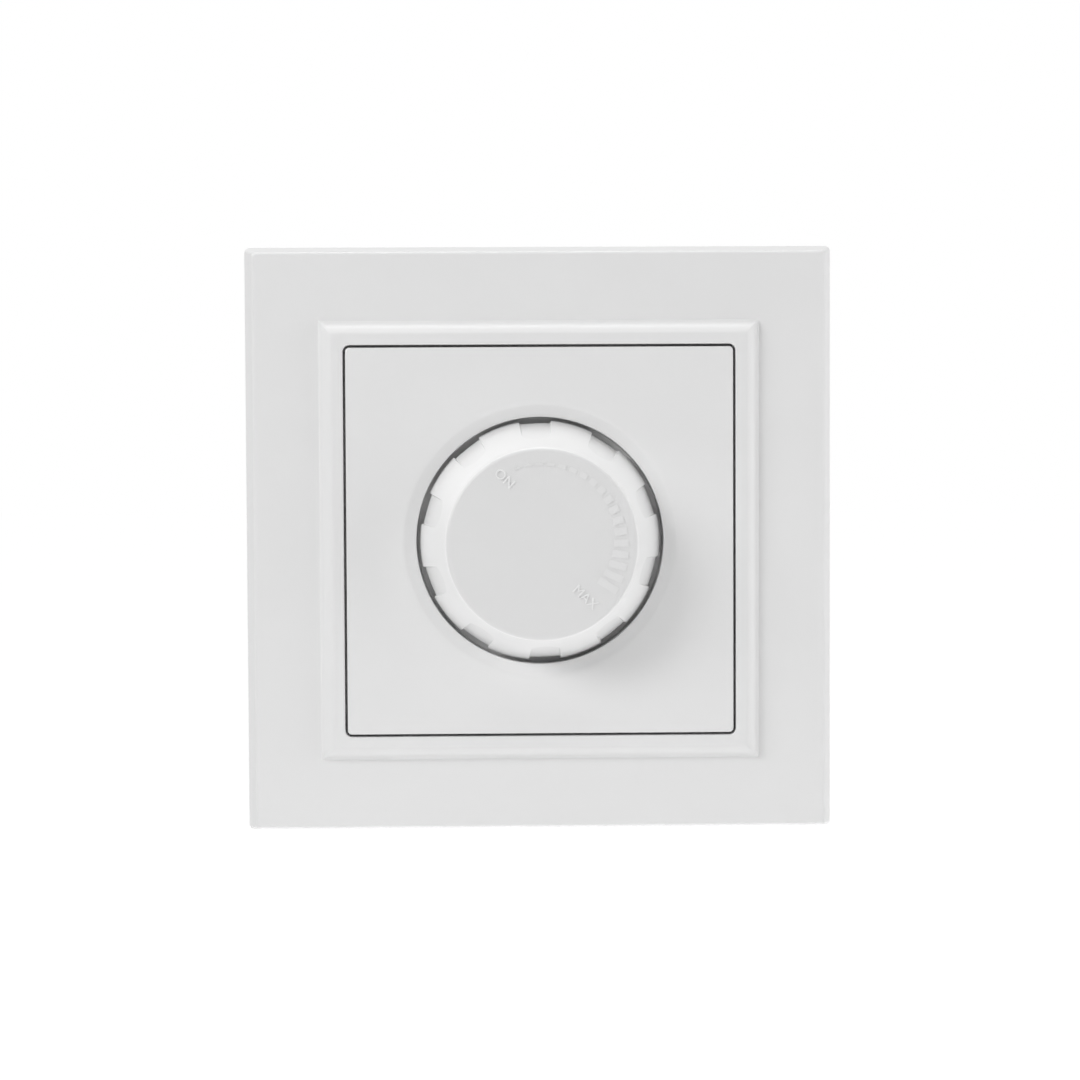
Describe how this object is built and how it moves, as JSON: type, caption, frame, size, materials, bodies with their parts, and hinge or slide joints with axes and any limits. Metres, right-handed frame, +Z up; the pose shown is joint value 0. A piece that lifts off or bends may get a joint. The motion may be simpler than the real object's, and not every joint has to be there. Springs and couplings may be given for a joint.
{
  "type": "rotary dimmer switch",
  "caption": "White flush rotary dimmer: square frame with raised bezel, centre plate with a dished well and fluted conical knob, on a steel support plate with a boxed mechanism.",
  "frame": {"origin": "centre of the wall plane on the knob's axis, where the cover frame's rim and the support plate's back meet the wall", "axes": "+Z up on the wall, -Y out into the room along the knob's axis, +X to the right as seen from the room; the box of the mechanism reaches into the wall along +Y"},
  "size_m": [0.082, 0.0384, 0.082],
  "materials": {
    "frame_plastic": "white, satin gloss",
    "plate_plastic": "white, satin gloss",
    "knob_plastic": "white, satin gloss",
    "housing_plastic": "light grey moulding",
    "zinc_steel": "zinc-plated sheet",
    "plated_steel": "zinc-plated",
    "spring_steel": "oiled spring steel",
    "aluminium_rod": "turned",
    "die_cast": "die-cast zinc",
    "tin_plate": "tin plate",
    "laminate": "brown laminate",
    "black_moulding": "black moulding",
    "rotor_moulding": "natural nylon",
    "spring_bronze": "spring bronze",
    "tinned_brass": "tinned",
    "brass": "stamped brass",
    "plated_brass": "nickel-plated brass",
    "cage_steel": "zinc-plated",
    "ferrite": "grey ferrite",
    "copper_wire": "enamelled copper",
    "film_case": "yellow case",
    "resistor_body": "lacquered",
    "diode_glass": "lacquered glass",
    "fuse_glass": "clear tube"
  },
  "bodies": {
    "mechanism": {"cover_frame": "frame_plastic", "centre_plate": "plate_plastic", "fixing_nut": "plated_steel", "lock_washer": "plated_steel", "support_plate": "zinc_steel", "base_housing": "housing_plastic", "wire_guide": "housing_plastic", "pot_bushing": "die_cast", "track_wafer": "laminate", "track_pins": "tinned_brass", "pot_can": "tin_plate", "switch_cup": "black_moulding", "arm_post": "tinned_brass", "fixed_contact": "tinned_brass", "circuit_board": "laminate", "choke_core": "ferrite", "choke_winding": "copper_wire", "mains_capacitor": "film_case", "timing_capacitor": "film_case", "resistors": "resistor_body", "trigger_diode": "diode_glass", "fuse_tube": "fuse_glass", "fuse_caps": "plated_brass", "fuse_clips": "plated_brass", "power_triac": "black_moulding", "triac_screw": "plated_steel", "live_bar": "brass", "load_bar": "brass", "two_way_bar": "brass"},
    "dial": {"knob": "knob_plastic", "knob_clip": "spring_steel", "spindle": "aluminium_rod", "spindle_ring": "spring_steel", "rotor": "rotor_moulding", "wiper": "spring_bronze"},
    "switch_arm": {"contact_arm": "spring_bronze"},
    "live_clamp_cage": {"live_cage": "cage_steel"},
    "live_clamp_screw": {"live_screw": "plated_steel"},
    "load_clamp_cage": {"load_cage": "cage_steel"},
    "load_clamp_screw": {"load_screw": "plated_steel"},
    "two_way_clamp_cage": {"two_way_cage": "cage_steel"},
    "two_way_clamp_screw": {"two_way_screw": "plated_steel"}
  },
  "joints": [
    {"name": "dial_turn", "type": "hinge", "parent": "mechanism", "child": "dial", "pos_m": [0, 0, 0], "axis": [0, 1, 0], "range_deg": [-43, 247]},
    {"name": "switch_arm_turn", "type": "hinge", "parent": "mechanism", "child": "switch_arm", "pos_m": [-0.0051, 0.0106, -0.0056], "axis": [0, 1, 0], "range_deg": [0, 5], "stiffness_Nm_per_rad": 0.02},
    {"name": "live_screw_turn", "type": "hinge", "parent": "mechanism", "child": "live_clamp_screw", "pos_m": [-0.0085, 0.02, -0.0198], "axis": [0, -1, 0], "range_deg": [0, 1500]},
    {"name": "live_cage_lift", "type": "slide", "parent": "mechanism", "child": "live_clamp_cage", "axis": [0, 1, 0], "range_m": [0, 0.0025]},
    {"name": "load_screw_turn", "type": "hinge", "parent": "mechanism", "child": "load_clamp_screw", "pos_m": [0, 0.02, -0.0198], "axis": [0, -1, 0], "range_deg": [0, 1500]},
    {"name": "load_cage_lift", "type": "slide", "parent": "mechanism", "child": "load_clamp_cage", "axis": [0, 1, 0], "range_m": [0, 0.0025]},
    {"name": "two_way_screw_turn", "type": "hinge", "parent": "mechanism", "child": "two_way_clamp_screw", "pos_m": [0.0085, 0.02, -0.0198], "axis": [0, -1, 0], "range_deg": [0, 1500]},
    {"name": "two_way_cage_lift", "type": "slide", "parent": "mechanism", "child": "two_way_clamp_cage", "axis": [0, 1, 0], "range_m": [0, 0.0025]}
  ],
  "couplings": [
    {"joint": "live_screw_turn", "follows": "live_cage_lift", "rad_per_m": 10471},
    {"joint": "load_screw_turn", "follows": "load_cage_lift", "rad_per_m": 10471},
    {"joint": "two_way_screw_turn", "follows": "two_way_cage_lift", "rad_per_m": 10471}
  ]
}
